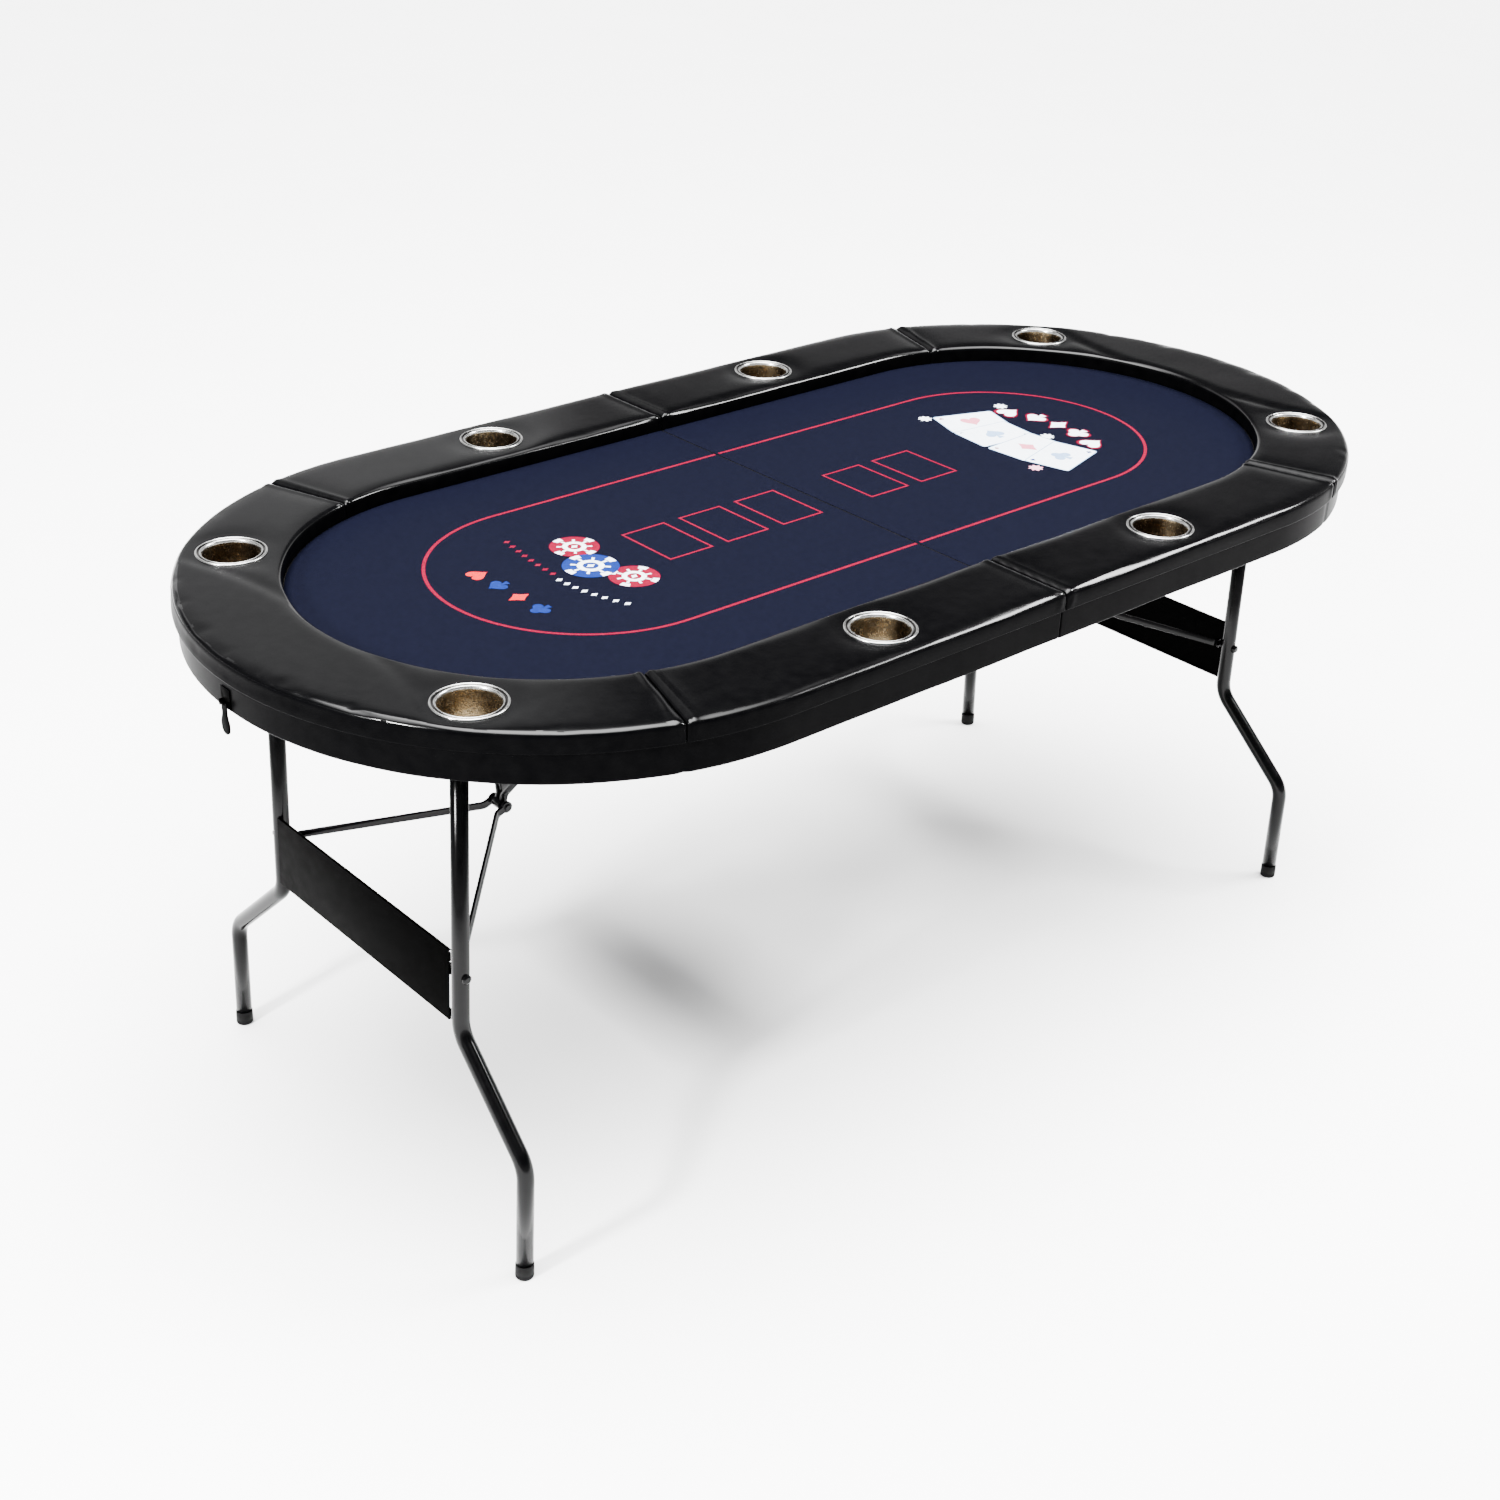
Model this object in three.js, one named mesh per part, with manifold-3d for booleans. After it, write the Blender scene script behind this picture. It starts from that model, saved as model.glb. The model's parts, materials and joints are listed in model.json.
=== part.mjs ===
// Folding poker table: two half tables hinged underneath at the middle. Each half has a padded
// rail with four cup holders, a cloth playing field, and a folding leg frame with a two-part brace.
// Millimetres, +Z up, origin on the floor under the middle of the table, +X along its length.
import * as THREE from 'three';
import Module from 'manifold-3d';
import { mergeVertices } from 'three/addons/utils/BufferGeometryUtils.js';

const wasm = await Module();
wasm.setup();

// Table top.
const LENGTH = 1830;
const WIDTH = 928;
const HEIGHT = 762;
const END_RADIUS = WIDTH / 2;
const ARC_CENTRE = LENGTH / 2 - END_RADIUS;
const SEAM = 0.5; // half of the gap between the two half tables
const GAP = 0.3; // clearance between touching pieces

// Padded rail, as a section: inward from the outer edge, and up.
const RAIL_WIDTH = 134;
const RAIL_LIP = 27;
const RAIL_ROUND = 10;
const END_RAIL_ANGLE = 72; // half of the angle that an end rail covers
const RAIL_SEAM_ANGLE = 0.08;
const ARC_STEP = 6;

const APRON_INSET = 6;
const APRON_WALL = 10;
const APRON_BOTTOM = 694;
const BOARD_TOP = 738;
const BOARD_THICK = 12;
const BOARD_BOTTOM = BOARD_TOP - BOARD_THICK;
const CLOTH_THICK = 1.2;
const BEAM_NEAR = 5;
const BEAM_THICK = 12;

// Cup holders.
const CUP_INSET = 66;
const CUP_SIDE_X = 260;
const CUP_END_ANGLE = 40.7;
const CUP_RIM = 45;
const CUP_MOUTH = 36;
const CUP_FLOOR = 33;
const CUP_SKIN = 1;
const CUP_BOTTOM = 704;
const CUP_HOLE = 38.2;

// Leg frame: it pivots at PIVOT and leans outward towards the floor.
const PIVOT_X = -732.8;
const PIVOT_Z = 712;
const LEAN = THREE.MathUtils.degToRad(1.84);
const LEG_RADIUS = 11;
const LEG_WALL = 1.4;
const LEG_TOP = 7;
const LEG_Y = 207;
const FOOT_Y = 342;
const KINK_HIGH = 289;
const KINK_LOW = 165;
const KINK_ROUND = 45;
const FOOT_RADIUS = 12;
const FOOT_HEIGHT = 20;
const FOOT_SOLE = 4.3;
const AXLE_RADIUS = 5;
const PANEL_LOW = 305;
const PANEL_HIGH = 405;
const PANEL_Y = 198;
const PANEL_SHEET = 1.5;
const PANEL_HEM = 4;
const PANEL_TAB = 1.2; // how far a tab reaches past the panel's edge

// Brace: two arms from the legs to a knee, and a V link from the knee to the underside.
const ARM_PIVOT_Z = 370;
const KNEE = new THREE.Vector2(-537, 441);
const LINK_PIVOT_Z = 717;
const LINK_Y = 180;
const ARM_Y = 188.5;
const ARM_KNEE_Y = 14.6;
const LINK_KNEE_Y = 5;
const BAR_HIGH = 10;
const BAR_THICK = 4;
const EYE_RADIUS = 8;
const BOLT_RADIUS = 3;

// Centre hinges.
const HINGE_Z = 691.7;
const HINGE_Y = 250;
const HINGE_LENGTH = 90;
const KNUCKLES = 5;
const KNUCKLE_RADIUS = 4;
const HINGE_PIN = 2;
const LEAF_THICK = 2;
const LEAF_REACH = BEAM_NEAR + BEAM_THICK;

// Latch on the left end, and its keeper on the right end.
const LATCH_PIVOT = new THREE.Vector2(-912.7, 704);
const LATCH_TAIL = 665;
const APRON_FACE = -(LENGTH / 2 - APRON_INSET);

const material = (color, roughness, metalness) =>
  new THREE.MeshStandardMaterial({ color, roughness, metalness });
const VINYL = material(0x17171b, 0.42, 0);
const CLOTH = material(0x2b2e49, 0.9, 0);
const BOARD = material(0x3a2f26, 0.8, 0);
const STEEL_BLACK = material(0x141416, 0.3, 0.6);
const STEEL_BRIGHT = material(0xc9c3b8, 0.22, 1);
const RUBBER = material(0x101010, 0.8, 0);

// ---- helpers -------------------------------------------------------------------------------

// A route in the XY plane of straight and round stretches, with one step between two vertices.
class Route extends THREE.Curve {
  points = [];
  tangents = [];

  add(x, y, angle) {
    const last = this.points.at(-1);
    if (last && Math.hypot(last.x - x, last.y - y) < 1e-6) return;
    this.points.push(new THREE.Vector3(x, y, 0));
    this.tangents.push(new THREE.Vector3(Math.cos(angle), Math.sin(angle), 0));
  }

  line(x0, y0, x1, y1) {
    const angle = Math.atan2(y1 - y0, x1 - x0);
    this.add(x0, y0, angle);
    this.add(x1, y1, angle);
    return this;
  }

  // A turn about (cx, cy) from one angle to another, in radians, left-handed when it grows.
  arc(cx, cy, radius, from, to, steps) {
    const quarter = (Math.sign(to - from) * Math.PI) / 2;
    for (let i = 0; i <= steps; i++) {
      const a = from + ((to - from) * i) / steps;
      this.add(cx + radius * Math.cos(a), cy + radius * Math.sin(a), a + quarter);
    }
    return this;
  }

  at(list, t, target) {
    const place = t * (list.length - 1);
    const i = Math.min(Math.floor(place), list.length - 2);
    return target.copy(list[i]).lerp(list[i + 1], place - i);
  }

  getPoint(t, target = new THREE.Vector3()) {
    return this.at(this.points, t, target);
  }

  getTangent(t, target = new THREE.Vector3()) {
    return this.at(this.tangents, t, target).normalize();
  }

  getUtoTmapping(u) {
    return u;
  }
}

// A route through corners, each rounded to the same radius.
function roundedRoute(corners, radius, steps) {
  const route = new Route();
  const points = corners.map(([x, y]) => new THREE.Vector2(x, y));
  let from = points[0];
  for (let i = 1; i < points.length - 1; i++) {
    const before = points[i].clone().sub(points[i - 1]).normalize();
    const after = points[i + 1].clone().sub(points[i]).normalize();
    const turn = Math.atan2(before.cross(after), before.dot(after));
    const reach = radius * Math.tan(Math.abs(turn) / 2);
    const start = points[i].clone().addScaledVector(before, -reach);
    const side = new THREE.Vector2(-before.y, before.x).multiplyScalar(Math.sign(turn));
    const centre = start.clone().addScaledVector(side, radius);
    const angle = Math.atan2(-side.y, -side.x);
    route.line(from.x, from.y, start.x, start.y);
    route.arc(centre.x, centre.y, radius, angle, angle + turn, steps);
    from = route.points.at(-1);
  }
  const last = points.at(-1);
  return route.line(from.x, from.y, last.x, last.y);
}

// Sweeps an outline of [left of the route, up] points along a route.
function sweep(route, outline, hole) {
  const shape = new THREE.Shape(outline.map(([left, up]) => new THREE.Vector2(-up, left)));
  if (hole) shape.holes.push(new THREE.Path(hole.map(([x, y]) => new THREE.Vector2(x, y))));
  const steps = route.points.length - 1;
  return new THREE.ExtrudeGeometry(shape, { steps, extrudePath: route, bevelEnabled: false });
}

const slab = (shape, depth, curveSegments = 10) =>
  new THREE.ExtrudeGeometry(shape, { depth, curveSegments, bevelEnabled: false });

const polygon = (points) => new THREE.Shape(points.map(([x, y]) => new THREE.Vector2(x, y)));

function circlePoints(radius, count) {
  return Array.from({ length: count }, (_, i) => {
    const a = ((i + 0.5) * 2 * Math.PI) / count;
    return [radius * Math.cos(a), radius * Math.sin(a)];
  });
}

// Points of a quarter-like turn, for rounded corners of a section.
function turnPoints(cx, cy, radius, from, to, steps) {
  return Array.from({ length: steps + 1 }, (_, i) => {
    const a = THREE.MathUtils.degToRad(from + ((to - from) * i) / steps);
    return [cx + radius * Math.cos(a), cy + radius * Math.sin(a)];
  });
}

const block = (x0, x1, y0, y1, z0, z1) =>
  new THREE.BoxGeometry(x1 - x0, y1 - y0, z1 - z0)
    .translate((x0 + x1) / 2, (y0 + y1) / 2, (z0 + z1) / 2);

// A turned piece on the Z axis, from a profile of [radius, height] points.
const turned = (profile, segments) =>
  new THREE.LatheGeometry(profile.map(([r, h]) => new THREE.Vector2(r, h)), segments).rotateX(Math.PI / 2);

// The same on the Y axis.
const turnedOnY = (profile, segments) =>
  new THREE.LatheGeometry(profile.map(([r, h]) => new THREE.Vector2(r, h)), segments);

const rodOnY = (radius, y0, y1, segments) =>
  new THREE.CylinderGeometry(radius, radius, y1 - y0, segments).translate(0, (y0 + y1) / 2, 0);

const rodOnZ = (radius, z0, z1, segments) =>
  new THREE.CylinderGeometry(radius, radius, z1 - z0, segments)
    .rotateX(Math.PI / 2)
    .translate(0, 0, (z0 + z1) / 2);

// Turns a piece drawn in XY and extruded on Z so that it stands in YZ and is extruded on X.
const UPRIGHT = new THREE.Matrix4().makeBasis(
  new THREE.Vector3(0, 1, 0),
  new THREE.Vector3(0, 0, 1),
  new THREE.Vector3(1, 0, 0),
);

function solid(geometry) {
  const plain = geometry.clone();
  plain.deleteAttribute('normal');
  plain.deleteAttribute('uv');
  const merged = mergeVertices(plain);
  return new wasm.Manifold(
    new wasm.Mesh({
      numProp: 3,
      vertProperties: Float32Array.from(merged.attributes.position.array),
      triVerts: Uint32Array.from(merged.index.array),
    }),
  );
}

function fromSolid(body) {
  const mesh = body.getMesh();
  const geometry = new THREE.BufferGeometry();
  geometry.setAttribute('position', new THREE.BufferAttribute(mesh.vertProperties, 3));
  geometry.setIndex(new THREE.BufferAttribute(mesh.triVerts, 1));
  geometry.computeVertexNormals();
  return geometry;
}

const joined = (...pieces) => fromSolid(pieces.map(solid).reduce((a, b) => a.add(b)));

const cutFrom = (piece, ...tools) =>
  fromSolid(tools.map(solid).reduce((a, b) => a.subtract(b), solid(piece)));

// ---- table top -----------------------------------------------------------------------------

const radians = THREE.MathUtils.degToRad;
const arcSteps = (from, to) => Math.max(1, Math.round(Math.abs(to - from) / ARC_STEP));

// The half table's outer edge between two angles about its arc centre; 90 and 270 reach the seam.
function edgeRoute(from, to) {
  const route = new Route();
  if (from <= 90) route.line(-SEAM, END_RADIUS, -ARC_CENTRE, END_RADIUS);
  const a = Math.max(from, 90);
  const b = Math.min(to, 270);
  route.arc(-ARC_CENTRE, 0, END_RADIUS, radians(a), radians(b), arcSteps(a, b));
  if (to >= 270) route.line(-ARC_CENTRE, -END_RADIUS, -SEAM, -END_RADIUS);
  return route;
}

const CUPS = {
  end: [
    -ARC_CENTRE - (END_RADIUS - CUP_INSET) * Math.cos(radians(CUP_END_ANGLE)),
    (END_RADIUS - CUP_INSET) * Math.sin(radians(CUP_END_ANGLE)),
  ],
  side: [-CUP_SIDE_X, END_RADIUS - CUP_INSET],
};

function railPad(from, to, cups) {
  const pad = sweep(edgeRoute(from, to), [
    [0, HEIGHT - RAIL_LIP],
    [APRON_INSET - GAP, HEIGHT - RAIL_LIP],
    [APRON_INSET - GAP, BOARD_TOP + GAP],
    [RAIL_WIDTH, BOARD_TOP + GAP],
    ...turnPoints(RAIL_WIDTH - RAIL_ROUND, HEIGHT - RAIL_ROUND, RAIL_ROUND, 0, 90, 2),
    ...turnPoints(RAIL_ROUND, HEIGHT - RAIL_ROUND, RAIL_ROUND, 90, 180, 3),
  ]);
  const holes = cups.map(([x, y]) =>
    rodOnZ(CUP_HOLE, BOARD_BOTTOM, HEIGHT + RAIL_LIP, 20).translate(x, y, 0));
  return cutFrom(pad, ...holes);
}

function apron() {
  return sweep(edgeRoute(90, 270), [
    [APRON_INSET, APRON_BOTTOM],
    [APRON_INSET + APRON_WALL, APRON_BOTTOM],
    [APRON_INSET + APRON_WALL, BOARD_TOP],
    [APRON_INSET, BOARD_TOP],
  ]);
}

// The half table's plan, drawn in from the outer edge.
function planShape(inset) {
  const radius = END_RADIUS - inset;
  const shape = new THREE.Shape();
  shape.moveTo(-SEAM, -radius);
  shape.lineTo(-SEAM, radius);
  shape.lineTo(-ARC_CENTRE, radius);
  shape.absarc(-ARC_CENTRE, 0, radius, Math.PI / 2, (3 * Math.PI) / 2, false);
  return shape;
}

function deckBoard() {
  const plan = planShape(APRON_INSET + APRON_WALL + 5 * GAP);
  for (const [x, y] of [CUPS.end, CUPS.side])
    for (const side of [-1, 1])
      plan.holes.push(new THREE.Path().absarc(x, side * y, CUP_HOLE, 0, 2 * Math.PI, false));
  return slab(plan, BOARD_THICK).translate(0, 0, BOARD_BOTTOM);
}

const cloth = () =>
  slab(planShape(RAIL_WIDTH + 4 * GAP), CLOTH_THICK, 15).translate(0, 0, BOARD_TOP + GAP);

const foldBeam = () =>
  block(-BEAM_NEAR - BEAM_THICK, -BEAM_NEAR, 1 - END_RADIUS + APRON_INSET + APRON_WALL,
    END_RADIUS - APRON_INSET - APRON_WALL - 1, APRON_BOTTOM, BOARD_BOTTOM - GAP);

const cup = ([x, y]) =>
  turned([
    [0, CUP_BOTTOM],
    [CUP_FLOOR + CUP_SKIN, CUP_BOTTOM],
    [CUP_MOUTH + CUP_SKIN, HEIGHT + GAP],
    [CUP_RIM, HEIGHT + GAP],
    [CUP_RIM - 1.5, HEIGHT + CUP_SKIN + GAP],
    [CUP_MOUTH + 2, HEIGHT + CUP_SKIN + GAP],
    [CUP_MOUTH, HEIGHT - 2],
    [CUP_FLOOR, CUP_BOTTOM + CUP_SKIN],
    [0, CUP_BOTTOM + CUP_SKIN],
  ], 18).translate(x, y, 0);

// ---- leg frame -----------------------------------------------------------------------------

// Heights above the floor, as distances along the leaning leg from its pivot.
const along = (z) => (z - PIVOT_Z) / Math.cos(LEAN);
const onLegFrame = (geometry) => geometry.rotateY(LEAN).translate(PIVOT_X, 0, PIVOT_Z);
const ARM_PIVOT = new THREE.Vector2(PIVOT_X + (ARM_PIVOT_Z - PIVOT_Z) * Math.tan(LEAN), ARM_PIVOT_Z);

function leg() {
  const route = roundedRoute([
    [LEG_Y, LEG_TOP],
    [LEG_Y, along(KINK_HIGH)],
    [FOOT_Y, along(KINK_LOW)],
    [FOOT_Y, along(FOOT_SOLE + GAP)],
  ], KINK_ROUND, 4);
  const tube = sweep(route, circlePoints(LEG_RADIUS, 12), circlePoints(LEG_RADIUS - LEG_WALL, 8))
    .applyMatrix4(UPRIGHT);
  const axleHole = rodOnY(AXLE_RADIUS + GAP, LEG_Y - 20, LEG_Y + 20, 12);
  const boltHole = rodOnY(BOLT_RADIUS + 0.4, LEG_Y - 20, LEG_Y + 20, 8)
    .translate(0, 0, along(ARM_PIVOT_Z));
  return cutFrom(tube, axleHole, boltHole);
}

function foot() {
  const inner = LEG_RADIUS + GAP;
  const cap = turned([
    [0, -3],
    [FOOT_RADIUS, -3],
    [FOOT_RADIUS, FOOT_HEIGHT - 2],
    [FOOT_RADIUS - 1.2, FOOT_HEIGHT],
    [inner, FOOT_HEIGHT],
    [inner, FOOT_SOLE],
    [0, FOOT_SOLE],
  ], 16).translate(0, FOOT_Y, along(0));
  return cutFrom(onLegFrame(cap), block(-900, -600, -500, 500, -50, 0));
}

function legPanel() {
  const outer = -LEG_RADIUS;
  const inner = outer + PANEL_SHEET;
  const hem = outer + PANEL_HEM;
  const [low, high] = [along(PANEL_LOW), along(PANEL_HIGH)];
  const section = polygon([
    [outer, low], [hem, low], [hem, low + PANEL_SHEET], [inner, low + PANEL_SHEET],
    [inner, high - PANEL_SHEET], [hem, high - PANEL_SHEET], [hem, high], [outer, high],
  ]);
  const sheet = slab(section, 2 * PANEL_Y).rotateX(Math.PI / 2).translate(0, PANEL_Y, 0);
  const tabs = [];
  for (const z of [low + 10, high - 10])
    for (const side of [1, -1]) {
      const ends = [side * (PANEL_Y - 8), side * (PANEL_Y + PANEL_TAB)];
      tabs.push(block(outer + 0.7, outer + 3, Math.min(...ends), Math.max(...ends), z - 6, z + 6));
    }
  return joined(sheet, ...tabs);
}

function axle() {
  const near = LEG_Y + LEG_RADIUS + 0.5;
  const head = AXLE_RADIUS + 2.5;
  return turnedOnY([
    [0, -near - 4], [head, -near - 4], [head, -near], [AXLE_RADIUS, -near],
    [AXLE_RADIUS, near], [head, near], [head, near + 4], [0, near + 4],
  ], 12).translate(PIVOT_X, 0, PIVOT_Z);
}

// An ear that hangs from the underside around a pivot on the Y axis, from y0 to y1.
function hangingEar(x, z, radius, y0, y1) {
  const ear = new THREE.Shape();
  ear.moveTo(x + radius, BOARD_BOTTOM - GAP);
  ear.lineTo(x - radius, BOARD_BOTTOM - GAP);
  ear.lineTo(x - radius, z);
  ear.absarc(x, z, radius, Math.PI, 2 * Math.PI, false);
  return slab(ear, y1 - y0, 4).rotateX(Math.PI / 2).translate(0, y1, 0);
}

function legBracket() {
  const y1 = LEG_Y - LEG_RADIUS - 0.7;
  const y0 = y1 - 3;
  const top = BOARD_BOTTOM - GAP;
  const plate = block(PIVOT_X - 22, PIVOT_X + 22, y0 - 32, y1, top - 2, top);
  const hole = rodOnY(AXLE_RADIUS + GAP, y0 - 1, y1 + 1, 12).translate(PIVOT_X, 0, PIVOT_Z);
  return cutFrom(joined(plate, hangingEar(PIVOT_X, PIVOT_Z, AXLE_RADIUS + 5, y0, y1)), hole);
}

// ---- brace ---------------------------------------------------------------------------------

// The arm's knee end lands on the folded link, which fixes where the link pivots on the board.
const ARM_LENGTH = KNEE.distanceTo(ARM_PIVOT);
const FOLDED_ARM_X = PIVOT_X + (PIVOT_Z - ARM_PIVOT_Z) / Math.cos(LEAN);
const FOLDED_KNEE_X = FOLDED_ARM_X + Math.sqrt(ARM_LENGTH ** 2 - (LINK_PIVOT_Z - PIVOT_Z) ** 2);
const RISE = LINK_PIVOT_Z - KNEE.y;
const LINK_PIVOT = new THREE.Vector2(
  (FOLDED_KNEE_X ** 2 - KNEE.x ** 2 - RISE ** 2) / (2 * (FOLDED_KNEE_X - KNEE.x)),
  LINK_PIVOT_Z,
);
const LINK_LENGTH = FOLDED_KNEE_X - LINK_PIVOT.x;

// Sets a piece drawn from a pivot along +X on the line from that pivot towards another point.
function towards(geometry, from, to) {
  const angle = Math.atan2(to.y - from.y, to.x - from.x);
  return geometry.rotateY(-angle).translate(from.x, 0, from.y);
}

// A flat bar in the XY plane, from (0, y0) to (length, y1), straight for a while at both ends.
function flatBar(length, y0, y1, straight) {
  const route = roundedRoute([[0, y0], [straight, y0], [length - straight, y1], [length, y1]], 8, 2);
  const [h, t] = [BAR_HIGH / 2, BAR_THICK / 2];
  return sweep(route, [[-t, -h], [t, -h], [t, h], [-t, h]]);
}

function braceArm() {
  const [h, t] = [EYE_RADIUS, BAR_THICK / 2];
  const legEye = rodOnY(h, ARM_Y - t, ARM_Y + t, 14);
  const kneeEye = rodOnY(h, ARM_KNEE_Y - t, ARM_KNEE_Y + t, 14).translate(ARM_LENGTH, 0, 0);
  const rivet = rodOnY(h - 3, LINK_KNEE_Y + t + GAP, ARM_KNEE_Y + 5, 10).translate(ARM_LENGTH, 0, 0);
  const bar = joined(flatBar(ARM_LENGTH, ARM_Y, ARM_KNEE_Y, 16), legEye, kneeEye, rivet);
  const hole = rodOnY(BOLT_RADIUS + 0.4, ARM_Y - 5, ARM_Y + 5, 10);
  return towards(cutFrom(bar, hole), ARM_PIVOT, KNEE);
}

function braceBolt() {
  const near = LEG_Y - LEG_RADIUS - 0.5;
  const far = LEG_Y + LEG_RADIUS + 0.5;
  return turnedOnY([
    [0, ARM_Y - 7.5], [5.5, ARM_Y - 7.5], [5.5, ARM_Y - 2.8], [BOLT_RADIUS, ARM_Y - 2.8],
    [BOLT_RADIUS, ARM_Y + 2.8], [5, ARM_Y + 2.8], [5, near], [BOLT_RADIUS, near],
    [BOLT_RADIUS, far], [6.5, far], [6.5, far + 2.5], [4, far + 4.5], [0, far + 4.5],
  ], 10).translate(ARM_PIVOT.x, 0, ARM_PIVOT.y);
}

function braceLink() {
  const t = BAR_THICK / 2;
  const sides = [1, -1].flatMap((side) => [
    flatBar(LINK_LENGTH, side * LINK_Y, side * LINK_KNEE_Y, 14),
    rodOnY(7, side * LINK_Y - t, side * LINK_Y + t, 12),
  ]);
  const knee = rodOnY(EYE_RADIUS, -LINK_KNEE_Y - t, LINK_KNEE_Y + t, 14).translate(LINK_LENGTH, 0, 0);
  const gusset = slab(polygon([
    [LINK_LENGTH, -6], [LINK_LENGTH, 6], [LINK_LENGTH - 14, 6], [LINK_LENGTH - 60, 34],
    [LINK_LENGTH - 60, -34], [LINK_LENGTH - 14, -6],
  ]), 3).translate(0, 0, -1.5);
  const holes = [1, -1].map((side) =>
    rodOnY(BOLT_RADIUS + 0.4, side * LINK_Y - 5, side * LINK_Y + 5, 10));
  return towards(cutFrom(joined(...sides, knee, gusset), ...holes), LINK_PIVOT, KNEE);
}

function linkBracket() {
  const y0 = LINK_Y + BAR_THICK / 2 + 1.2;
  const y1 = y0 + 3;
  const { x, y: z } = LINK_PIVOT;
  const plate = block(x - 16, x + 16, y0, y1 + 18, BOARD_BOTTOM - GAP - 1.6, BOARD_BOTTOM - GAP);
  const pin = rodOnY(BOLT_RADIUS, LINK_Y - 5, y0 + 1, 10).translate(x, 0, z);
  const head = rodOnY(BOLT_RADIUS + 2, LINK_Y - 6, LINK_Y - 3, 10).translate(x, 0, z);
  return joined(plate, hangingEar(x, z, 7, y0, y1), pin, head);
}

// ---- centre hinges and latch ---------------------------------------------------------------

// One leaf, on the side that x points to: its knuckles are the odd or the even ones.
function hingeLeaf(side, first) {
  const pitch = HINGE_LENGTH / KNUCKLES;
  const near = KNUCKLE_RADIUS + 0.6;
  const onSide = (a, b) => (side > 0 ? [a, b] : [-b, -a]);
  const pieces = [block(...onSide(near, LEAF_REACH), 0, HINGE_LENGTH, 0, LEAF_THICK)];
  const bores = [];
  for (let k = first; k < KNUCKLES; k += 2) {
    const [y0, y1] = [k * pitch + 0.2, (k + 1) * pitch - 0.2];
    pieces.push(block(...onSide(0, near + 1), y0, y1, 0, LEAF_THICK));
    pieces.push(rodOnY(KNUCKLE_RADIUS, y0, y1, 12));
    bores.push(rodOnY(HINGE_PIN + 0.4, y0 - 0.1, y1 + 0.1, 10));
  }
  const pin = rodOnY(HINGE_PIN, 0.2, HINGE_LENGTH - 0.2, 10);
  return first === 0 ? joined(...pieces, pin) : cutFrom(joined(...pieces), ...bores);
}

function latchBase() {
  const x = APRON_FACE - GAP;
  const { x: pivotX, y: pivotZ } = LATCH_PIVOT;
  const pieces = [block(x - 1.1, x, -10, 10, pivotZ - 6, pivotZ + 20)];
  for (const side of [1, -1]) {
    const middle = side * 7.4;
    pieces.push(block(pivotX - 2, x - 0.6, middle - 1.2, middle + 1.2, pivotZ - 3, pivotZ + 4));
  }
  return joined(...pieces, rodOnY(0.9, -7.4, 7.4, 8).translate(pivotX, 0, pivotZ));
}

function latchLever() {
  const { x, y: z } = LATCH_PIVOT;
  const paddle = new THREE.Shape();
  paddle.moveTo(-5.4, z);
  paddle.lineTo(-5.4, z - 14);
  paddle.lineTo(-9, z - 24);
  paddle.absarc(0, LATCH_TAIL + 9, 9, Math.PI, 2 * Math.PI, false);
  paddle.lineTo(9, z - 24);
  paddle.lineTo(5.4, z - 14);
  paddle.lineTo(5.4, z);
  const plate = slab(paddle, 1.8, 5).applyMatrix4(UPRIGHT).translate(x - 0.9, 0, 0);
  const knuckle = rodOnY(2, -5.6, 5.6, 10).translate(x, 0, z);
  return cutFrom(joined(plate, knuckle), rodOnY(1.25, -6, 6, 8).translate(x, 0, z));
}

function keeper() {
  const x = APRON_FACE - GAP;
  const z = LATCH_PIVOT.y;
  return joined(
    block(x - 1.1, x, -10, 10, z - 4, z + 18),
    block(x - 5.2, x - 0.6, -7, 7, z + 1, z + 3),
    block(x - 5.2, x - 4, -7, 7, z + 1, z + 7),
  );
}

// ---- assembly ------------------------------------------------------------------------------

function mesh(name, geometry, look) {
  const node = new THREE.Mesh(geometry, look);
  node.name = name;
  return node;
}

// The same piece on the other side of the XZ plane, with its faces still pointing out.
function mirrored(geometry) {
  const other = geometry.index ? geometry.toNonIndexed() : geometry.clone();
  other.applyMatrix4(new THREE.Matrix4().makeScale(1, -1, 1));
  const place = other.attributes.position;
  for (let i = 0; i < place.count; i += 3) {
    const [x, y, z] = [place.getX(i), place.getY(i), place.getZ(i)];
    place.setXYZ(i, place.getX(i + 1), place.getY(i + 1), place.getZ(i + 1));
    place.setXYZ(i + 1, x, y, z);
  }
  other.deleteAttribute('normal');
  return other;
}

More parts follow.
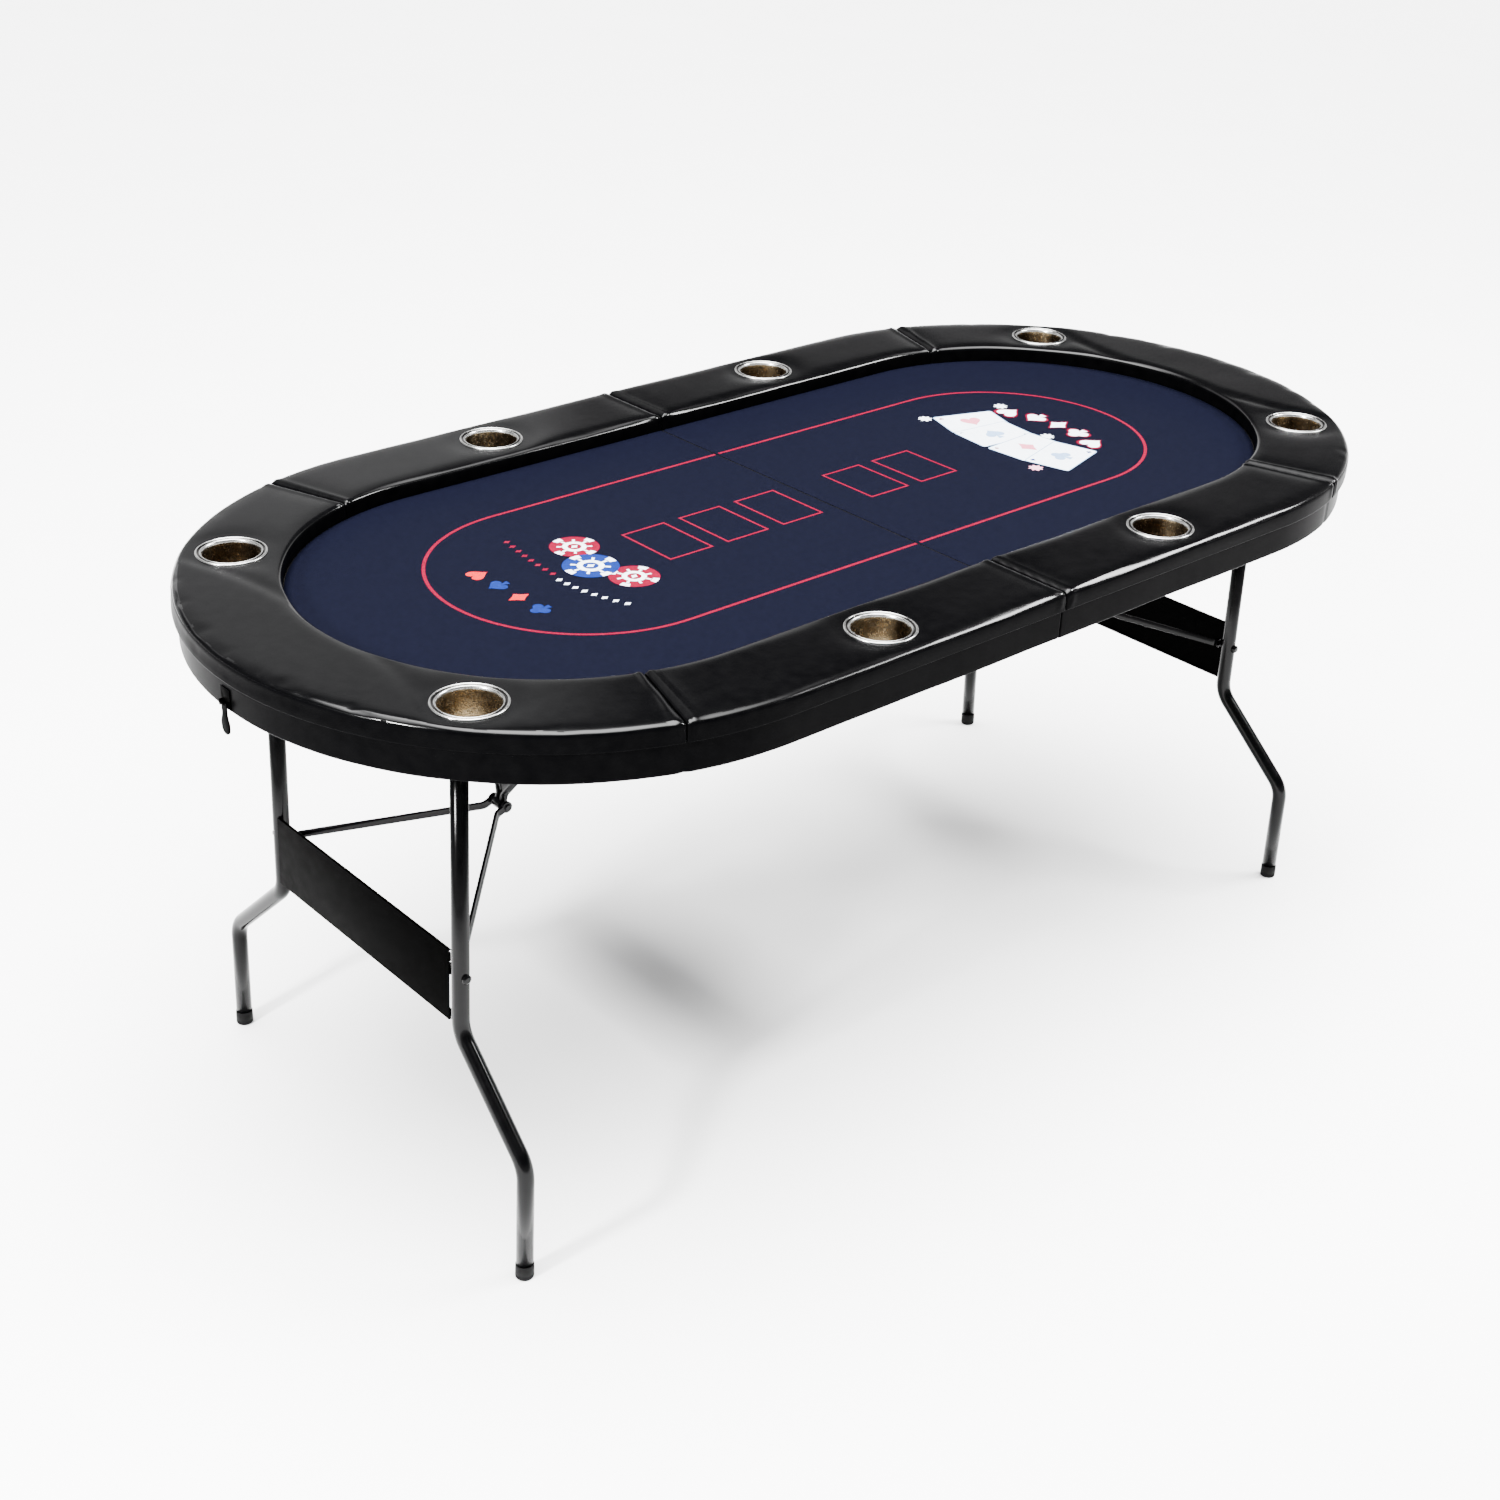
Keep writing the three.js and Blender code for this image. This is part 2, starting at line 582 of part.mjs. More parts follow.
// A half table with its seam on x = 0 and its end at -X. low and high name its -Y and +Y sides.
function halfTable(half, low, high) {
  const group = new THREE.Group();
  const add = (name, geometry, look) => group.add(mesh(`${half}_${name}`, geometry, look));
  const addPair = (name, geometry, look) => {
    add(`${name}_${high}`, geometry, look);
    add(`${name}_${low}`, mirrored(geometry), look);
  };
  const turn = 180 - END_RAIL_ANGLE;
  const { end, side } = CUPS;
  add('end_rail', railPad(turn + RAIL_SEAM_ANGLE, 360 - turn - RAIL_SEAM_ANGLE,
    [end, [end[0], -end[1]]]), VINYL);
  addPair('side_rail', railPad(90, turn - RAIL_SEAM_ANGLE, [side]), VINYL);
  add('apron', apron(), VINYL);
  add('deck_board', deckBoard(), BOARD);
  add('cloth', cloth(), CLOTH);
  add('fold_beam', foldBeam(), BOARD);
  addPair('end_cup', cup(end), STEEL_BRIGHT);
  addPair('side_cup', cup(side), STEEL_BRIGHT);
  addPair('leg', onLegFrame(leg()), STEEL_BLACK);
  addPair('foot', foot(), RUBBER);
  add('leg_panel', onLegFrame(legPanel()), STEEL_BLACK);
  add('leg_axle', axle(), STEEL_BRIGHT);
  addPair('leg_bracket', legBracket(), STEEL_BLACK);
  addPair('brace_arm', braceArm(), STEEL_BLACK);
  addPair('brace_bolt', braceBolt(), STEEL_BRIGHT);
  add('brace_link', braceLink(), STEEL_BLACK);
  addPair('link_bracket', linkBracket(), STEEL_BLACK);
  return group;
}

const table = new THREE.Group();
const left = halfTable('left', 'front', 'back');
const right = halfTable('right', 'back', 'front');
right.rotation.z = Math.PI;
left.add(mesh('latch_base', latchBase(), STEEL_BLACK));
left.add(mesh('latch_lever', latchLever(), STEEL_BLACK));
right.add(mesh('latch_keeper', keeper(), STEEL_BLACK));
table.add(left, right);

for (const [name, y] of [['front', -HINGE_Y], ['back', HINGE_Y]]) {
  const hinge = new THREE.Group();
  hinge.position.set(0, y - HINGE_LENGTH / 2, HINGE_Z);
  hinge.add(mesh(`hinge_leaf_left_${name}`, hingeLeaf(-1, 0), STEEL_BRIGHT));
  hinge.add(mesh(`hinge_leaf_right_${name}`, hingeLeaf(1, 1), STEEL_BRIGHT));
  table.add(hinge);
}

export default table;
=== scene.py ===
"""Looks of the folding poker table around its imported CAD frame. Metres, +Z up, +X along the table."""

import json
import math

import bmesh
import bpy
import numpy as np
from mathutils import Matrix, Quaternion, Vector, geometry, noise

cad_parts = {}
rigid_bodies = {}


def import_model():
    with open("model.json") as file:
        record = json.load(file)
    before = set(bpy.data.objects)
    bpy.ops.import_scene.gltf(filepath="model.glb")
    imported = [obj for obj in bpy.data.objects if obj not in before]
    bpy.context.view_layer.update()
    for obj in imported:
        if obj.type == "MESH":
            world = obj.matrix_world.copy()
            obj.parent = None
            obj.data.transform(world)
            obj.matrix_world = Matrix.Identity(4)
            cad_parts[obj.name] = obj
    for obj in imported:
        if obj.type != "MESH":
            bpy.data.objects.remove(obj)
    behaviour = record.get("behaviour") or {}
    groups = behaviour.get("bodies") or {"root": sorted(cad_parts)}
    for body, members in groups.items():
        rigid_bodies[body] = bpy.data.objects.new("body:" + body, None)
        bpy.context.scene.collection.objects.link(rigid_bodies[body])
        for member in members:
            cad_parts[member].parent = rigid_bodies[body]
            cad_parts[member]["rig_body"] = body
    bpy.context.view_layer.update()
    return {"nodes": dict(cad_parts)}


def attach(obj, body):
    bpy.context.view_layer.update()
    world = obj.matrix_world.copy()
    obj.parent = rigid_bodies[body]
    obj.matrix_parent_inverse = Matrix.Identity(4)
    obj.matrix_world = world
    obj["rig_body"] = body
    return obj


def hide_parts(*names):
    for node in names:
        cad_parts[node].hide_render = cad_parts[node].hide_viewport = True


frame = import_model()
nodes = frame["nodes"]
scene = bpy.context.scene

RADIUS = 0.464  # of the rounded ends' outer edge
CENTRE = 0.451  # how far each end's arc centre is from the fold
SEAM = 0.0005  # half of the gap between the half tables
RAIL_WIDTH = 0.134
TOP = 0.762
CLOTH_TOP = 0.7395
CLOTH_RADIUS = RADIUS - RAIL_WIDTH - 0.0012
END_CUP = (-CENTRE - 0.398 * math.cos(math.radians(40.7)), 0.398 * math.sin(math.radians(40.7)))
SIDE_CUP = (-0.260, 0.398)
STRAIGHT = CENTRE - SEAM  # length of the outer edge's straight part
PAD_TURN = RADIUS * math.radians(18)  # how far a side pad reaches round the end
PAD_GAP = RADIUS * math.radians(0.08)
LEG_PIVOT = Vector((-0.7328, 0, 0.712))
LEAN = math.radians(1.84)


# ---- node materials ------------------------------------------------------------------------


class Look:
    """A procedural material: Principled BSDF with colour, roughness and relief from textures."""

    def __init__(self, name, roughness=0.5, metallic=0.0, specular=0.5):
        self.material = bpy.data.materials.new(name)
        self.material.use_nodes = True
        tree = self.material.node_tree
        self.nodes, self.links = tree.nodes, tree.links
        self.shader = self.nodes["Principled BSDF"]
        self.shader.inputs["Roughness"].default_value = roughness
        self.shader.inputs["Metallic"].default_value = metallic
        self.shader.inputs["Specular IOR Level"].default_value = specular
        self.place = self.nodes.new("ShaderNodeTexCoord").outputs["Object"]
        self.relief = None

    def stretched(self, scale):
        mapping = self.nodes.new("ShaderNodeMapping")
        mapping.inputs["Scale"].default_value = scale
        self.links.new(self.place, mapping.inputs["Vector"])
        return mapping.outputs["Vector"]

    def noise(self, scale, detail=4.0, vector=None):
        node = self.nodes.new("ShaderNodeTexNoise")
        node.inputs["Scale"].default_value = scale
        node.inputs["Detail"].default_value = detail
        self.links.new(vector or self.place, node.inputs["Vector"])
        return node.outputs["Fac"]

    def cells(self, scale):
        node = self.nodes.new("ShaderNodeTexVoronoi")
        node.feature = "DISTANCE_TO_EDGE"
        node.inputs["Scale"].default_value = scale
        self.links.new(self.place, node.inputs["Vector"])
        return node.outputs["Distance"]

    def wave(self, scale, direction):
        node = self.nodes.new("ShaderNodeTexWave")
        node.bands_direction = direction
        node.inputs["Scale"].default_value = scale
        self.links.new(self.place, node.inputs["Vector"])
        return node.outputs["Fac"]

    def blend(self, factor, low, high, stops=(0.3, 0.7)):
        ramp = self.nodes.new("ShaderNodeValToRGB")
        for element, colour, stop in zip(ramp.color_ramp.elements, (low, high), stops):
            element.color = (*colour, 1)
            element.position = stop
        self.links.new(factor, ramp.inputs["Fac"])
        return ramp.outputs["Color"]

    def colour(self, factor, low, high, stops=(0.3, 0.7)):
        self.links.new(self.blend(factor, low, high, stops), self.shader.inputs["Base Color"])
        return self

    def range(self, factor, low, high):
        node = self.nodes.new("ShaderNodeMapRange")
        node.inputs["From Min"].default_value = 0.25
        node.inputs["From Max"].default_value = 0.75
        node.inputs["To Min"].default_value = low
        node.inputs["To Max"].default_value = high
        self.links.new(factor, node.inputs["Value"])
        self.links.new(node.outputs["Result"], self.shader.inputs["Roughness"])
        return self

    def bump(self, height, strength, distance):
        node = self.nodes.new("ShaderNodeBump")
        node.inputs["Strength"].default_value = strength
        node.inputs["Distance"].default_value = distance
        self.links.new(height, node.inputs["Height"])
        if self.relief:
            self.links.new(self.relief, node.inputs["Normal"])
        self.relief = node.outputs["Normal"]
        self.links.new(self.relief, self.shader.inputs["Normal"])
        return self


def vinyl(name, specular, roughness):
    look = Look(name, specular=specular)
    look.colour(look.noise(60, 6), (0.0003, 0.0003, 0.0004), (0.0008, 0.0008, 0.0009))
    look.range(look.noise(12, 3), roughness, roughness + 0.05)
    look.bump(look.cells(620), 0.05, 0.0003)
    look.bump(look.noise(1900, 3), 0.06, 0.00012)
    return look.material


def woven(name, low, high, roughness=0.85, specular=0.2):
    look = Look(name, roughness=roughness, specular=specular)
    look.colour(look.noise(240, 8), low, high)
    look.bump(look.wave(900, "X"), 0.25, 0.0002)
    look.bump(look.wave(900, "Y"), 0.25, 0.0002)
    look.bump(look.noise(2200, 4), 0.35, 0.0002)
    return look.material


def polished():
    look = Look("polished_steel", metallic=1.0)
    look.colour(look.noise(90, 4), (0.34, 0.34, 0.33), (0.54, 0.54, 0.53))
    look.range(look.noise(140, 4), 0.20, 0.30)
    look.bump(look.noise(420, 3), 0.05, 0.0002)
    return look.material


def cup_lining():
    look = Look("cup_lining", metallic=1.0)
    # The lining is gold, with dark vertical bands painted into its colour as reflections round the wall.
    painted_reflection_bands = look.noise(1, 1, look.stretched((22, 22, 2)))
    look.colour(painted_reflection_bands, (0.07, 0.050, 0.030), (0.36, 0.29, 0.19), (0.40, 0.62))
    look.range(look.noise(200, 4), 0.18, 0.3)
    look.bump(look.noise(700, 2, look.stretched((1, 1, 0.05))), 0.08, 0.0002)
    return look.material


# Near-black steel painted into the rim's groove as the shade that falls in it.
def painted_groove_shade():
    look = Look("painted_shade_groove", metallic=1.0)
    look.colour(look.noise(90, 4), (0.022, 0.021, 0.020), (0.050, 0.048, 0.045))
    look.range(look.noise(140, 4), 0.14, 0.24)
    return look.material


def brushed():
    look = Look("bright_steel", metallic=1.0)
    look.colour(look.noise(120, 5), (0.36, 0.35, 0.34), (0.62, 0.61, 0.59))
    look.range(look.noise(260, 5, look.stretched((1, 8, 1))), 0.20, 0.38)
    look.bump(look.noise(900, 3, look.stretched((1, 12, 1))), 0.10, 0.0002)
    return look.material


def gloss_black():
    look = Look("black_enamel", specular=0.08)
    look.colour(look.noise(45, 5), (0.0004, 0.0004, 0.0005), (0.0011, 0.0011, 0.0012))
    look.range(look.noise(70, 4), 0.12, 0.2)
    look.bump(look.noise(380, 4), 0.10, 0.0003)
    return look.material


def satin_black():
    look = Look("black_powder_coat", specular=0.002)
    look.colour(look.noise(70, 5), (0.0001, 0.0001, 0.0001), (0.0003, 0.0003, 0.0003))
    look.range(look.noise(60, 4), 0.38, 0.5)
    look.bump(look.noise(1100, 4), 0.25, 0.0003)
    return look.material


def rubber():
    look = Look("black_rubber", specular=0.08)
    look.colour(look.noise(110, 5), (0.0006, 0.0006, 0.0006), (0.0018, 0.0018, 0.0018))
    look.range(look.noise(150, 4), 0.62, 0.8)
    look.bump(look.noise(900, 4), 0.3, 0.0003)
    return look.material


def board():
    look = Look("board", specular=0.06)
    grain = look.noise(38, 8, look.stretched((0.6, 9, 9)))
    look.colour(grain, (0.0016, 0.0015, 0.0014), (0.0040, 0.0037, 0.0034))
    look.range(look.noise(90, 5), 0.5, 0.68)
    look.bump(look.noise(500, 6, look.stretched((1, 7, 7))), 0.3, 0.0004)
    return look.material


def pale_floor():
    look = Look("pale_floor", roughness=0.9, specular=0.0)
    look.colour(look.noise(2, 3), (0.86, 0.86, 0.86), (0.88, 0.88, 0.88))
    return look.material


VINYL = vinyl("black_vinyl", 0.042, 0.2)
EDGE_VINYL = vinyl("black_vinyl_stretched", 0.17, 0.13)
SIDE_VINYL = vinyl("black_vinyl_side", 0.005, 0.3)
CLOTH = woven("playing_cloth", (0.0011, 0.0013, 0.0040), (0.0017, 0.0020, 0.0056), 0.6, specular=0.012)
RED = woven("print_red", (0.085, 0.0005, 0.0090), (0.115, 0.0009, 0.0130), specular=0.02)
CORAL = woven("print_coral", (0.30, 0.0060, 0.0070), (0.36, 0.0090, 0.0100), specular=0.05)
BLUE = woven("print_blue", (0.0020, 0.0090, 0.070), (0.0030, 0.0130, 0.095), specular=0.05)
WHITE = woven("print_white", (0.52, 0.57, 0.62), (0.62, 0.67, 0.72))
PINK = woven("print_pink", (0.52, 0.22, 0.30), (0.60, 0.28, 0.36))
PALE_RED = woven("print_pale_red", (0.38, 0.10, 0.15), (0.46, 0.14, 0.19))
PALE_BLUE = woven("print_pale_blue", (0.13, 0.21, 0.34), (0.17, 0.27, 0.42))
POLISHED = polished()
LINING = cup_lining()
GROOVE_SHADE = painted_groove_shade()
BRIGHT = brushed()
ENAMEL = gloss_black()
SATIN = satin_black()
RUBBER = rubber()
BOARD = board()


# ---- mesh helpers --------------------------------------------------------------------------


def made(name, points, faces, material, closed=True):
    """A mesh object with that name, its faces turned outward if it is closed."""
    mesh = bpy.data.meshes.new(name)
    mesh.from_pydata([tuple(p) for p in points], [], [tuple(f) for f in faces])
    if closed:
        work = bmesh.new()
        work.from_mesh(mesh)
        bmesh.ops.recalc_face_normals(work, faces=work.faces)
        if work.calc_volume(signed=True) < 0:
            bmesh.ops.reverse_faces(work, faces=work.faces)
        work.to_mesh(mesh)
        work.free()
    mesh.polygons.foreach_set("use_smooth", [True] * len(mesh.polygons))
    mesh.materials.append(material)
    obj = bpy.data.objects.new(name, mesh)
    scene.collection.objects.link(obj)
    return obj


def shape_of(obj):
    """The points and faces of a mesh object."""
    points = np.zeros(len(obj.data.vertices) * 3)
    obj.data.vertices.foreach_get("co", points)
    return points.reshape(-1, 3), [tuple(p.vertices) for p in obj.data.polygons]


def with_modifiers_applied(obj):
    graph = bpy.context.evaluated_depsgraph_get()
    mesh = bpy.data.meshes.new_from_object(obj.evaluated_get(graph))
    obj.modifiers.clear()
    obj.data = mesh
    return obj


def skin(rings):
    """A closed shape over rings of the same number of points."""
    n, m = len(rings), len(rings[0])
    faces = []
    for i in range(n - 1):
        for j in range(m):
            k = (j + 1) % m
            faces.append((i * m + j, i * m + k, (i + 1) * m + k, (i + 1) * m + j))
    faces.append(tuple(range(m)))
    faces.append(tuple((n - 1) * m + j for j in range(m)))
    return [p for ring in rings for p in ring], faces


def lathe(profile, segments=72):
    """A turned shape about Z from (radius, height) points, the first and last on the axis."""
    points = [(0, 0, profile[0][1])]
    rings = profile[1:-1]
    for r, z in rings:
        for i in range(segments):
            a = 2 * math.pi * i / segments
            points.append((r * math.cos(a), r * math.sin(a), z))
    points.append((0, 0, profile[-1][1]))
    faces = []
    for i in range(segments):
        j = (i + 1) % segments
        faces.append((0, 1 + j, 1 + i))
        for k in range(len(rings) - 1):
            a, b = 1 + k * segments, 1 + (k + 1) * segments
            faces.append((a + i, a + j, b + j, b + i))
        last = 1 + (len(rings) - 1) * segments
        faces.append((last + i, last + j, len(points) - 1))
    return np.array(points), faces


def end_word(side, back):
    """Whether a piece drawn at the back or front of the left half is at the back or front there."""
    return "back" if back == (side == "left") else "front"


def put(name, side, shape, material, body, replaced, front=False, closed=True):
    """A piece drawn in the left half's back: mirrored to its front, turned for the right half."""
    points, faces = np.array(shape[0], float), shape[1]
    if front:
        points = points * (1, -1, 1)
        faces = [tuple(reversed(f)) for f in faces]
    if side == "right":
        points = points * (-1, -1, 1)
    obj = made(name, points, faces, material, closed)
    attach(obj, body)
    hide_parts(*replaced)
    return obj


def rounded(corners, longest):
    """A closed outline through (x, y, radius) corners, with no step longer than that."""
    outline = []
    count = len(corners)
    for i, (x, y, radius) in enumerate(corners):
        here = Vector((x, y))
        before = (here - Vector(corners[i - 1][:2])).normalized()
        after = (Vector(corners[(i + 1) % count][:2]) - here).normalized()
        turn = before.angle_signed(after, 0.0)
        if radius <= 0 or abs(turn) < 0.01:
            outline.append(here)
            continue
        reach = radius * math.tan(abs(turn) / 2)
        start, end = here - before * reach, here + after * reach
        steps = max(2, round(abs(turn) * 7))
        for k in range(steps + 1):
            t = k / steps
            a, b = start.lerp(here, t), here.lerp(end, t)
            outline.append(a.lerp(b, t))
    filled = []
    for i, a in enumerate(outline):
        b = outline[(i + 1) % len(outline)]
        steps = max(1, math.ceil((b - a).length / longest))
        filled += [a.lerp(b, k / steps) for k in range(steps)]
    return filled


def outward(outline):
    """Unit normals of a closed outline, pointing out of it."""
    area = sum(a.x * b.y - b.x * a.y for a, b in zip(outline, outline[1:] + outline[:1]))
    normals = []
    for i in range(len(outline)):
        along = (outline[(i + 1) % len(outline)] - outline[i - 1]).normalized()
        normals.append(Vector((along.y, -along.x)) * math.copysign(1, area))
    return normals


# ---- padded rail ---------------------------------------------------------------------------


def station(s):
    """The point on the left half's outer edge at a distance from its back corner, and the way in."""
    if s < STRAIGHT:
        return Vector((-SEAM - s, RADIUS, 0)), Vector((0, -1, 0))
    if s > STRAIGHT + math.pi * RADIUS:
        return Vector((s - STRAIGHT - math.pi * RADIUS - CENTRE, -RADIUS, 0)), Vector((0, 1, 0))
    a = math.pi / 2 + (s - STRAIGHT) / RADIUS
    out = Vector((math.cos(a), math.sin(a), 0))
    return Vector((-CENTRE, 0, 0)) + out * RADIUS, -out


def spaced(start, stop, step, near):
    """Distances from start to stop, closer together towards both ends."""
    steps = max(1, round((stop - start - 2 * near[-1]) / step))
    middle = np.linspace(start + near[-1], stop - near[-1], steps + 1)
    return [start + n for n in near[:-1]] + list(middle) + [stop - n for n in near[:-1]][::-1]


PAD_OUTLINE = [
    (0.0057, 0.7352, 0.0),
    (0.0, 0.7352, 0.0020),
    (0.0, TOP, 0.0085),
    (RAIL_WIDTH, TOP, 0.0070),
    (RAIL_WIDTH, 0.7386, 0.0015),
    (0.0057, 0.7386, 0.0),
]
NEAR_END = [0, 0.0006, 0.0015, 0.0027, 0.0041, 0.0056, 0.0075, 0.010, 0.013, 0.017, 0.022]
TUCK = 0.0045  # how far a pad's ends sink at a seam
ROLL = 0.0085  # and over what length
PUFF = 0.0022  # the most that the foam stands proud of its cover's cut
SWELL_FRAMES = 20


def swollen(pad, held):
    """The pad after a short cloth simulation with air in it, held at the points given by weight."""
    before, _ = shape_of(pad)
    group = pad.vertex_groups.new(name="held")
    for i, weight in enumerate(held):
        group.add([i], float(weight), "REPLACE")
    cloth = pad.modifiers.new("cloth", "CLOTH")
    settings = cloth.settings
    settings.quality = 4
    settings.mass = 0.4
    settings.tension_stiffness = settings.compression_stiffness = 25
    settings.bending_stiffness = 8
    settings.use_pressure = True
    settings.uniform_pressure_force = 4
    settings.vertex_group_mass = group.name
    settings.effector_weights.gravity = 0
    cloth.collision_settings.use_self_collision = False
    cloth.point_cache.frame_start, cloth.point_cache.frame_end = 1, SWELL_FRAMES
    for number in range(1, SWELL_FRAMES + 1):
        scene.frame_set(number)
    with_modifiers_applied(pad)
    scene.frame_set(1)
    after, _ = shape_of(pad)
    move = after - before
    length = np.maximum(np.linalg.norm(move, axis=1), 1e-9)
    return before + move * np.minimum(1, PUFF * np.tanh(length / PUFF) / length)[:, None]


def rail_pad(start, stop, cups):
    """One pad of the rail between two distances along the edge, with its cup holes."""
    outline = rounded(PAD_OUTLINE, 0.0075)
    normals = outward(outline)
    count = len(outline)
    rings, ends, across = [], [], []
    for s in spaced(start, stop, 0.0075, NEAR_END):
        origin, inward = station(s)
        d = min(s - start, stop - s)
        ring = []
        for place, normal in zip(outline, normals):
            share = 0.3 + 0.7 * max(0, normal.y)
            left_over = max(0, 1 - d / (ROLL * share))
            q = place - normal * TUCK * share * (1 - math.sqrt(1 - left_over**2))
            ring.append(origin + inward * q.x + Vector((0, 0, q.y)))
        rings.append(ring)
        ends += [d] * count
        across += [inward * n.x + Vector((0, 0, n.y)) for n in normals]
    points, faces = skin(rings)
    ends, across = np.array(ends), np.array(across)
    points = np.array(points)
    hold = np.clip(1 - ends / 0.012, 0, 1)
    hold[points[:, 2] < 0.7400] = 1
    for x, y in cups:
        away = np.hypot(points[:, 0] - x, points[:, 1] - y)
        hold = np.maximum(hold, np.clip((0.062 - away) / 0.014, 0, 1))
    pad = made("pad", points, faces, VINYL)
    points = swollen(pad, hold)
    bpy.data.objects.remove(pad)
    for i, p in enumerate(points):
        if p[2] < 0.7395:  # the underside lies flat on the board
            continue
        gather = math.exp(-ends[i] / 0.016) * (0.5 + 0.5 * math.sin(p[0] * 700 + p[1] * 560 + p[2] * 500))
        lip = math.exp(-(((ends[i] - 0.010) / 0.005) ** 2))
        slow = noise.noise(Vector(p) * 8) * 0.00025 + noise.noise(Vector(p) * 30) * 0.00003
        points[i] = p + across[i] * (0.0012 * lip - 0.0008 * gather + slow)
    pad = made("pad", points, faces, VINYL)
    for x, y in cups:
        hole_points, hole_faces = lathe([(0, 0.72), (0.0386, 0.72), (0.0386, 0.80), (0, 0.80)], 48)
        hole = made("hole", hole_points + np.array((x, y, 0)), hole_faces, VINYL)
        cut = pad.modifiers.new("cut", "BOOLEAN")
        cut.object, cut.operation, cut.solver = hole, "DIFFERENCE", "MANIFOLD"
        with_modifiers_applied(pad)
        bpy.data.objects.remove(hole)
    shape = shape_of(pad)
    bpy.data.objects.remove(pad)
    return shape


def finished(pad):
    """The cover shines where it is stretched over an edge and is flatter down the sides."""
    pad.data.materials.append(SIDE_VINYL)
    pad.data.materials.append(EDGE_VINYL)
    for polygon in pad.data.polygons:
        at, normal = polygon.center, polygon.normal
        out = Vector((math.copysign(max(0, abs(at.x) - CENTRE), at.x), at.y, 0)).normalized()
        if at.z < 0.7500 or normal.z < 0.5:
            polygon.material_index = 1
        elif normal.z < 0.955 and abs(normal.dot(out)) > 0.25:
            polygon.material_index = 2
    return pad


def rails():
    end_shape = rail_pad(
        STRAIGHT + PAD_TURN + PAD_GAP,
        STRAIGHT + math.pi * RADIUS - PAD_TURN - PAD_GAP,
        [END_CUP, (END_CUP[0], -END_CUP[1])],
    )
    side_shape = rail_pad(0, STRAIGHT + PAD_TURN - PAD_GAP, [SIDE_CUP])
    for side in ("left", "right"):
        body = f"{side}_half"
        name = f"{side}_end_rail"
        pad = put(f"{name}_pad", side, end_shape, VINYL, body, [name])
        finished(pad)
        for back in (True, False):
            name = f"{side}_side_rail_{end_word(side, back)}"
            pad = put(f"{name}_pad", side, side_shape, VINYL, body, [name], front=not back)
            finished(pad)


APRON_ROUND = 0.0015  # of the cover's edge at the fold


def aprons():
    outline = rounded(
        [(0.0061, 0.6945, 0.004), (0.0061, 0.7378, 0.001), (0.0158, 0.7378, 0.0), (0.0158, 0.6945, 0.003)],
        0.006,
    )
    normals = outward(outline)
    full = 2 * STRAIGHT + math.pi * RADIUS
    joints = [STRAIGHT + PAD_TURN, full - STRAIGHT - PAD_TURN]
    rings = []
    for s in spaced(0, full, 0.006, NEAR_END):
        origin, inward = station(s)
        d = min(s, full - s)
        short = max(0, APRON_ROUND - d)
        tuck = APRON_ROUND - math.sqrt(APRON_ROUND**2 - short**2)
        nearest = min(abs(s - j) for j in joints)
        groove = 0.0012 * math.exp(-((nearest / 0.0035) ** 2))
        ring = []
        for place, normal in zip(outline, normals):
            wave = noise.noise((origin + Vector((0, 0, place.y))) * 11) * 0.0006
            q = place - normal * (tuck + groove) + normal * min(wave, 0.0003)
            ring.append(origin + inward * q.x + Vector((0, 0, q.y)))
        rings.append(ring)
    shape = skin(rings)
    for side in ("left", "right"):
        name = f"{side}_apron"
        put(f"{name}_cover", side, shape, SIDE_VINYL, f"{side}_half", [name])


# ---- playing field -------------------------------------------------------------------------


def field_outline(radius, steps):
    """The left half's edge of a stadium of that radius, from the fold at the back round to the front."""
    arc = [math.pi / 2 + math.pi * i / steps for i in range(steps + 1)]
    return [Vector((-CENTRE + radius * math.cos(a), radius * math.sin(a))) for a in arc]


CLOTH_DROP = 0.0012  # how far the cloth rolls down over the board's edge at the fold
CLOTH_ROLL = 0.0045  # and over what length
CLOTH_INSET = SEAM + 0.0006


def cloth_height(x):
    short = max(0, 1 - (-x - SEAM) / CLOTH_ROLL)
    return CLOTH_TOP - CLOTH_DROP * short**2


def cloths():
    edge = field_outline(CLOTH_RADIUS, 96)
    shares = [0, 0.0008, 0.002, 0.0036, 0.006] + [0.012 + 0.988 * i / 60 for i in range(61)]
    rows = []
    for p in edge:
        row = []
        for t in shares:
            x = (p.x + CLOTH_INSET) * t - CLOTH_INSET
            ripple = noise.noise(Vector((x * 9, p.y * 9, 0))) * 0.00007
            row.append((x, p.y, cloth_height(x) + ripple))
        rows.append(row)
    n = len(shares)
    faces = [
        (i * n + j, i * n + j + 1, (i + 1) * n + j + 1, (i + 1) * n + j)
        for i in range(len(rows) - 1)
        for j in range(n - 1)
    ]
    shape = ([p for row in rows for p in row], faces)
    for side in ("left", "right"):
        name = f"{side}_cloth"
        piece = put(
            f"{name}_sheet", side, shape, CLOTH, f"{side}_half", [name], closed=False
        )
        thick = piece.modifiers.new("thickness", "SOLIDIFY")
        thick.thickness = 0.0010
        thick.offset = -1
        list(prints(side))


